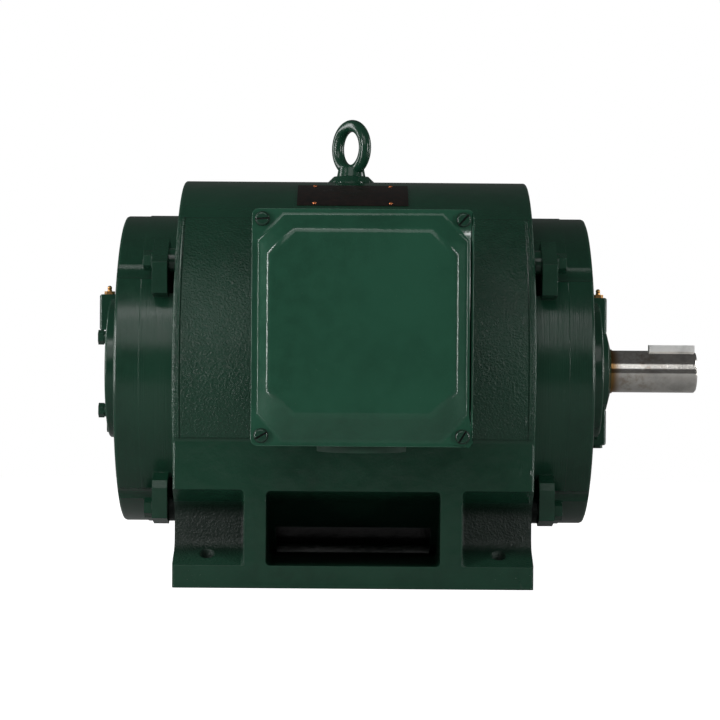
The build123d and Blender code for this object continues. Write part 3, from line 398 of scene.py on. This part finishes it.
# Painted shade: below the heads' face the screws are painted near black and made duller.
painted_slot_shade = (t.y - screw_face_y).step(0.0005, 0.0015)
t.set(Base_Color=t.mix(painted_slot_shade, colour(0.012, 0.05, 0.03), colour(0.0015, 0.003, 0.002)),
      Roughness=0.16 + 0.6 * painted_slot_shade)
t.relief(t.noise(500.0, 3.0), SCREW_DEPTH)
print("fasteners:", q.material.name, t.material.name)

# %% [markdown]
# ## Bare metals
# The shaft is ground and oiled: bright, with rings finer than the eye can part, and a brown tint
# where the oil has dried near the shoulder. Roughness carries most of the look, because a metal
# shows what it mirrors. The key is plated and paler than the rest.


# %% Metals
OIL_BROWN = colour(0.30, 0.17, 0.06)
METAL_RINGS = 2600.0
RING_DEPTH, GRAIN_DEPTH = 0.00012, 0.0001
WORN_SHARE = 0.72
OIL_EDGE, OIL_HAZE = (0.292, 0.304), (0.30, 0.40)


def metal(name, base, rough, ringed=0.0, tint=None):
    """A bare metal with turned rings, blotches in its polish and an optional tint."""
    finish = Finish(name)
    rings = turned_rings(finish, METAL_RINGS)
    smear = finish.noise(45.0, 4.0, 0.6)
    bright = colour(*base)
    surface = finish.mix(smear.step(0.4, 0.75), bright, shade(bright, WORN_SHARE))
    if tint:
        surface = finish.mix(tint(finish), surface, OIL_BROWN)
    finish.set(Base_Color=surface, Roughness=rough + 0.1 * smear + ringed * 0.25 * rings,
               Metallic=1.0)
    if ringed:
        finish.relief(rings, RING_DEPTH * ringed)
    else:
        finish.relief(finish.noise(500.0, 3.0), GRAIN_DEPTH)
    return finish


def oil_tint(finish):
    """Dried oil: amber at the shoulder, fading along the shaft."""
    band = 1.0 - finish.x.step(*OIL_EDGE)
    haze = (1.0 - finish.x.step(*OIL_HAZE)) * finish.noise(80.0, 4.0, 0.7).step(0.45, 0.7)
    return band.bigger(haze * 0.5)


shaft_steel = metal("shaft_steel", (0.92, 0.89, 0.84), 0.03, ringed=0.4, tint=oil_tint)
key_steel = metal("key_steel", (0.97, 0.97, 0.95), 0.5)
key_steel.set(Metallic=0.2)
bearing_steel = metal("bearing_chrome", (0.66, 0.66, 0.66), 0.10)
pressed_steel = metal("pressed_steel", (0.5, 0.5, 0.48), 0.3)
spring_steel = metal("spring_steel", (0.26, 0.26, 0.28), 0.35)
zinc_steel = metal("zinc_steel", (0.62, 0.61, 0.55), 0.32)
core_steel = metal("lamination_steel", (0.20, 0.20, 0.21), 0.42)
rotor_metal = metal("rotor_aluminium", (0.66, 0.66, 0.67), 0.38)
lug_brass = metal("lug_brass", (0.72, 0.60, 0.32), 0.30)
fitting_brass = metal("fitting_brass", (0.62, 0.34, 0.13), 0.3)
pin_copper = metal("pin_copper", (0.72, 0.24, 0.10), 0.32)
cast_iron = metal("bare_casting", (0.12, 0.12, 0.12), 0.6)
print("materials so far:", len(bpy.data.materials))

# %% [markdown]
# ## The nameplate, the rubber and the insulation
# The plate is dark brown and blank, with a fine grain. Rubber, insulation and winding varnish
# are even in colour and differ in how dull and how coarse they are.

# %% Plate and soft materials
plate_finish = Finish("nameplate_dark")
n = plate_finish
plate_tone = n.noise(150.0, 4.0, 0.7)
plate_brown = n.mix(plate_tone.step(0.3, 0.8), colour(0.004, 0.003, 0.0025),
                    colour(0.018, 0.009, 0.006))
n.set(Base_Color=plate_brown, Roughness=0.3 + 0.25 * plate_tone)
n.relief(n.noise(900.0, 3.0), 0.00015)


def soft_material(name, base, rough, scale, depth):
    """A dull, even material with a fine grain."""
    finish = Finish(name)
    grain = finish.noise(scale, 4.0, 0.6)
    full = colour(*base)
    finish.set(Base_Color=finish.mix(grain, shade(full, 0.6), full),
               Roughness=rough + 0.15 * grain)
    finish.relief(grain, depth)
    return finish


seal_rubber = soft_material("seal_rubber", (0.025, 0.025, 0.025), 0.5, 300.0, 0.0002)
gasket_rubber = soft_material("gasket_rubber", (0.035, 0.035, 0.033), 0.6, 420.0, 0.0002)
lead_cover = soft_material("lead_insulation", (0.02, 0.02, 0.02), 0.45, 260.0, 0.0001)
varnish = soft_material("winding_varnish", (0.36, 0.12, 0.035), 0.22, 500.0, 0.0008)
print("materials in all:", len(bpy.data.materials))

# %% [markdown]
# ## Hand each CAD piece its finish
# The pieces keep their shapes. Only the material in each object's slots changes.

# %% Assign the finishes
finishes = {
    frame_paint: ["frame_housing"],
    bracket_paint: ["drive_bracket", "rear_bracket"],
    cover_paint: ["conduit_box_cover"],
    cap_paint: ["drive_bearing_cap", "rear_bearing_cap", "lifting_eyebolt",
                "drive_air_baffle", "rear_air_baffle"],
    screw_paint: ["drive_bracket_bolts", "rear_bracket_bolts", "drive_bracket_lock_washers",
                  "rear_bracket_lock_washers", "drive_cap_screws", "rear_cap_screws",
                  "drive_relief_plug", "rear_relief_plug"],
    slot_paint: ["cover_screws"],
    box_paint: ["conduit_box"],
    cast_iron: ["drive_inner_bearing_cap", "rear_inner_bearing_cap"],
    plate_finish: ["nameplate"],
    pin_copper: ["nameplate_pins"],
    shaft_steel: ["shaft"],
    key_steel: ["shaft_key"],
    bearing_steel: ["drive_bearing_balls", "drive_bearing_inner_ring",
                    "drive_bearing_outer_ring", "rear_bearing_balls",
                    "rear_bearing_inner_ring", "rear_bearing_outer_ring"],
    pressed_steel: ["drive_bearing_cage", "rear_bearing_cage"],
    spring_steel: ["rear_preload_spring", "rear_snap_ring"],
    zinc_steel: ["conduit_box_bolts", "ground_screw"],
    core_steel: ["rotor_core", "stator_core"],
    rotor_metal: ["rotor_end_rings"],
    varnish: ["stator_windings"],
    lead_cover: ["motor_leads"],
    lug_brass: ["lead_lugs"],
    fitting_brass: ["drive_grease_fitting", "rear_grease_fitting"],
    seal_rubber: ["shaft_seal"],
    gasket_rubber: ["conduit_box_gasket", "cover_gasket"],
}
for finish, names in finishes.items():
    for name in names:
        piece = nodes[name]
        if not piece.material_slots:
            piece.data.materials.append(finish.material)
        for slot in piece.material_slots:
            slot.material = finish.material
print("finishes:", len(finishes), "pieces:", sum(len(names) for names in finishes.values()))

# %% [markdown]
# ## Helpers for a new piece
# A new piece starts as loose loops of edges, which the mesh operators bridge, fill and bevel.
# Edges to round are picked by where they lie and by which way a face beside them looks, so no
# list of edge numbers is needed.


# %% Helpers for making pieces
BIG_FACES_LEAD = 100


def loop_of(bm, verts):
    """Joins vertices into a closed loop of edges."""
    return [bm.edges.new((verts[i - 1], verts[i])) for i in range(len(verts))]


def edges_where(bm, at, beside=None):
    """The edges whose ends pass a test on their place, beside a face that passes one too."""
    found = [edge for edge in bm.edges if all(at(vert.co) for vert in edge.verts)]
    if beside is None:
        return found
    return [edge for edge in found if any(beside(face.normal) for face in edge.link_faces)]


def round_edges(bm, edges, width, segments):
    bmesh.ops.bevel(bm, geom=edges, offset=width, offset_type="OFFSET", segments=segments,
                    profile=0.5, affect="EDGES", material=-1, clamp_overlap=True)


def make_piece(name, bm, finish, body):
    """Turns a bmesh into an object that rides on a body."""
    bmesh.ops.recalc_face_normals(bm, faces=bm.faces)
    mesh = bpy.data.meshes.new(name)
    bm.to_mesh(mesh)
    bm.free()
    mesh.materials.append(finish.material)
    mesh.shade_smooth()
    piece = bpy.data.objects.new(name, mesh)
    bpy.context.scene.collection.objects.link(piece)
    piece.modifiers.new("flat_faces_stay_flat", "WEIGHTED_NORMAL").weight = BIG_FACES_LEAD
    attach(piece, body)
    print(name, "faces:", len(mesh.polygons))
    return piece


print("piece helpers ready")

# %% [markdown]
# ## The pressed cover of the conduit box
# The cover is one sheet that a press has raised into a low panel with cut corners. Every bend
# has a radius, and in dark gloss paint those radii are what is seen: each draws one thin line of
# light. The CAD cover's bends are sharp, so a new cover is made with the same corners: a rim
# with round corners, an octagon where the panel starts to rise, and the octagon of its flat top.

# %% Draw the cover's loops
RISE = 0.014
BORDER = 0.006
RIM_CORNER = 0.007
CORNER_CUT = 0.026
SIDE_SLOPE, TOP_SLOPE, FOOT_SLOPE = 0.011, 0.015, 0.025
panel_y = cover_low[1]
face_y = panel_y + RISE
back_y = cover_high[1]
left, right, low, high = cover_low[0], cover_high[0], cover_low[2], cover_high[2]


def octagon_loop(bm, left, right, low, high, y):
    """A rectangle's loop of edges with its corners cut off."""
    cut = CORNER_CUT
    corners = [(left, low + cut), (left, high - cut), (left + cut, high), (right - cut, high),
               (right, high - cut), (right, low + cut), (right - cut, low), (left + cut, low)]
    return loop_of(bm, [bm.verts.new((x, y, z)) for x, z in corners])


cover = bmesh.new()
rim_corners = [cover.verts.new((x, face_y, z))
               for x, z in ((left, low), (left, high), (right, high), (right, low))]
loop_of(cover, rim_corners)
bmesh.ops.bevel(cover, geom=rim_corners, offset=RIM_CORNER, segments=5, profile=0.5,
                affect="VERTICES", material=-1)
rim = list(cover.edges)
foot_loop = octagon_loop(cover, left + BORDER, right - BORDER, low + BORDER, high - BORDER,
                         face_y)
top_loop = octagon_loop(cover, left + BORDER + SIDE_SLOPE, right - BORDER - SIDE_SLOPE,
                        low + BORDER + FOOT_SLOPE, high - BORDER - TOP_SLOPE, panel_y)
print("rim edges:", len(rim), "foot edges:", len(foot_loop), "top edges:", len(top_loop))

# %% [markdown]
# The rim is drawn back to the gasket, the loops are bridged, and the flat top and the back are
# closed. Then the bends are rounded, widest at the panel's edge, less at its foot and least at
# the rim, as a press leaves them.

# %% Press the cover
PANEL_BEND, FOOT_BEND, RIM_BEND = 0.0042, 0.0022, 0.0016
TOUCH = 1e-5
INSIDE_RIM = 0.004

back = bmesh.ops.extrude_edge_only(cover, edges=rim)["geom"]
bmesh.ops.translate(cover, vec=(0.0, back_y - face_y, 0.0),
                    verts=[item for item in back if isinstance(item, bmesh.types.BMVert)])
bmesh.ops.bridge_loops(cover, edges=rim + foot_loop)
bmesh.ops.bridge_loops(cover, edges=foot_loop + top_loop)
bmesh.ops.contextual_create(cover, geom=top_loop)
bmesh.ops.contextual_create(cover, geom=[item for item in back
                                         if isinstance(item, bmesh.types.BMEdge)])


def on_panel(co):
    return abs(co.y - panel_y) < TOUCH


def on_face(co):
    return abs(co.y - face_y) < TOUCH


def on_foot(co):
    return (on_face(co) and left + INSIDE_RIM < co.x < right - INSIDE_RIM
            and low + INSIDE_RIM < co.z < high - INSIDE_RIM)


round_edges(cover, edges_where(cover, on_panel), PANEL_BEND, 5)
round_edges(cover, edges_where(cover, on_foot, lambda normal: abs(normal.y) < 0.99),
            FOOT_BEND, 3)
round_edges(cover, edges_where(cover, on_face, lambda normal: abs(normal.y) < 0.1),
            RIM_BEND, 3)
cover_piece = make_piece("conduit_cover_pressed", cover, cover_paint, "housing")
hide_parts("conduit_box_cover")

# %% [markdown]
# ## The studio floor
# The motor stands on a white sweep. The camera sees it as pure white, as in a product picture,
# and what the paint and the steel mirror is a greyer floor, or the whole underside would glow.

# %% Floor
FLOOR_RADIUS, FLOOR_SIDES = 1.7, 96
FLOOR_DROP = 0.0002
bpy.ops.mesh.primitive_circle_add(vertices=FLOOR_SIDES, radius=FLOOR_RADIUS, fill_type="NGON",
                                  location=(0.0, 0.0, cad_bounds[0][2] - FLOOR_DROP))
floor = bpy.context.object
floor.name = "studio_floor"
floor_white = Finish("studio_white")
w = floor_white
w.set(Base_Color=colour(0.55, 0.55, 0.55), Roughness=0.8, Specular_IOR_Level=0.0)
pale = w.add("ShaderNodeBsdfDiffuse", {}, {"Color": colour(0.92, 0.92, 0.92)})
glow = w.add("ShaderNodeEmission", {}, {"Color": colour(1.0, 1.0, 1.0), "Strength": 0.9})
seen = w.add("ShaderNodeAddShader", {}, {0: pale, 1: glow})
surface = w.for_the_camera(seen, Wire(w, w.shader.outputs[0]))
w.put(w.tree.nodes["Material Output"].inputs["Surface"], surface)
floor.data.materials.append(w.material)
print("floor radius:", FLOOR_RADIUS)

# %% [markdown]
# ## Soft boxes
# Dark gloss paint shows mostly what it mirrors. A narrow box on each side, in front of the
# motor, draws the thin lines along the cover's bends. Two behind it draw the rims of the
# brackets. One above draws the line along the top, and a large one behind the camera lights
# the colour of the paint and makes the bright band on the shaft.


# %% Lamps
def soft_box(name, place, aim, width, height, power):
    """A rectangular lamp that faces a point."""
    data = bpy.data.lights.new(name, "AREA")
    data.shape = "RECTANGLE"
    data.size = width
    data.size_y = height
    data.energy = power
    lamp = bpy.data.objects.new(name, data)
    lamp.location = place
    lamp.rotation_euler = (Vector(aim) - Vector(place)).to_track_quat("-Z", "Y").to_euler()
    bpy.context.scene.collection.objects.link(lamp)


middle = (0.0, 0.0, axis_z)
soft_box("left_box", (-1.5, -1.1, 0.5), middle, width=0.15, height=1.1, power=15.0)
soft_box("left_rim_box", (-2.1, 0.5, 0.8), middle, width=0.4, height=2.2, power=20.0)
soft_box("right_box", (2.0, -1.5, 0.5), middle, width=0.15, height=1.2, power=16.0)
soft_box("right_rim_box", (2.2, 0.6, 0.7), middle, width=0.3, height=1.5, power=14.0)
soft_box("top_box", (-0.6, -2.0, 2.1), middle, width=1.4, height=0.25, power=4.0)
soft_box("front_box", (-0.3, -2.9, 1.9), middle, width=2.2, height=1.5, power=13.0)
print("lamps:", len(bpy.data.lights))

# %% [markdown]
# ## Backdrop
# The backdrop is pure white, and the room behind the camera is dark, as in a studio. So the
# world is white where the camera sees it and dim where the paint mirrors it. The plain view
# transform keeps the white as white.

# %% World
ROOM_LIGHT = 0.07
WHITE = colour(1.0, 1.0, 1.0)
bpy.context.scene.view_settings.view_transform = "Standard"
world = bpy.data.worlds.new("studio_world")
bpy.context.scene.world = world
world.use_nodes = True
sky = Graph(world.node_tree)
white = sky.add("ShaderNodeBackground", {}, {"Color": WHITE, "Strength": 1.0})
dim = sky.add("ShaderNodeBackground", {}, {"Color": WHITE, "Strength": ROOM_LIGHT})
sky.put(sky.tree.nodes["World Output"].inputs["Surface"], sky.for_the_camera(white, dim))
print("room light:", ROOM_LIGHT)

# %% [markdown]
# ## Camera
# The camera stands square to the side with the conduit box, a little above the shaft, and is
# rolled by less than half a degree, as a hand-set camera is.

# %% Camera
CAMERA_PLACE = (0.0, -2.8, 0.2816)
CAMERA_TILT, CAMERA_ROLL = 90.0, -0.42
LENS, SENSOR, FAR = 122.8, 36.0, 100.0
SHIFT_X, SHIFT_Y = 0.0076, -0.0514
camera_data = bpy.data.cameras.new("camera")
camera_data.sensor_width = SENSOR
camera_data.lens = LENS
camera_data.shift_x = SHIFT_X
camera_data.shift_y = SHIFT_Y
camera_data.clip_end = FAR
camera = bpy.data.objects.new("camera", camera_data)
camera.location = CAMERA_PLACE
camera.rotation_euler = (math.radians(CAMERA_TILT), math.radians(CAMERA_ROLL), 0.0)
bpy.context.scene.collection.objects.link(camera)
bpy.context.scene.camera = camera
print("camera at:", CAMERA_PLACE)
